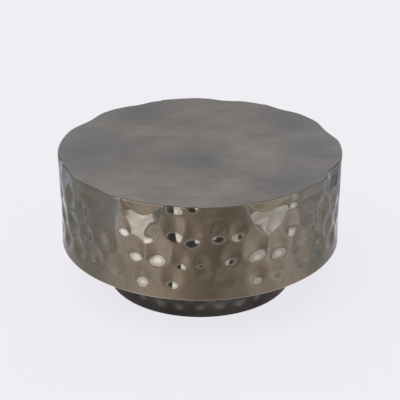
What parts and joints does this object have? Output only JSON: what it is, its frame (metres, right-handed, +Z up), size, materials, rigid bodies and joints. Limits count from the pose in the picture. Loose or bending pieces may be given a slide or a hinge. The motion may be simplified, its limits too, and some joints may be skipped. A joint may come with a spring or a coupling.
{
  "type": "drum coffee table",
  "caption": "Round drum coffee table with a flat brushed metal top, a hand-hammered metal wall and a smaller recessed round plinth.",
  "frame": {"origin": "on the floor under the middle of the table", "axes": "+Z up; -Y is the side that the picture shows; +X to its right"},
  "size_m": [0.9, 0.9, 0.45],
  "materials": {
    "brushed_top": "fine straight brushing, dark pewter patina",
    "hammered_wall": "hand hammered, polished dark bronze",
    "hammered_plinth": "softly hammered, dark bronze, satin",
    "drum_floor": "dark satin lacquer",
    "frame_steel": "black primer",
    "zinc_fasteners": "bright zinc plate",
    "fibreboard": "raw medium density fibreboard",
    "nylon": "matt black nylon"
  },
  "bodies": {
    "root": {"top_sheet": "brushed_top", "top_board": "fibreboard", "top_ring": "frame_steel", "top_bar_lower": "frame_steel", "top_bar_upper": "frame_steel", "top_ring_screws": "zinc_fasteners", "drum_panel_front": "hammered_wall", "drum_panel_back": "hammered_wall", "drum_strap_left": "frame_steel", "drum_strap_right": "frame_steel", "floor_plate": "drum_floor", "floor_ring": "frame_steel", "floor_bar_lower": "frame_steel", "floor_bar_upper": "frame_steel", "floor_plate_screws": "zinc_fasteners", "plinth_panel_front": "hammered_plinth", "plinth_panel_back": "hammered_plinth", "plinth_strap_left": "frame_steel", "plinth_strap_right": "frame_steel", "plinth_flange": "frame_steel", "plinth_foot_ring": "frame_steel", "plinth_bolts": "zinc_fasteners", "plinth_washers": "zinc_fasteners", "plinth_nuts": "zinc_fasteners", "glides": "nylon", "glide_screws": "zinc_fasteners"}
  },
  "joints": []
}
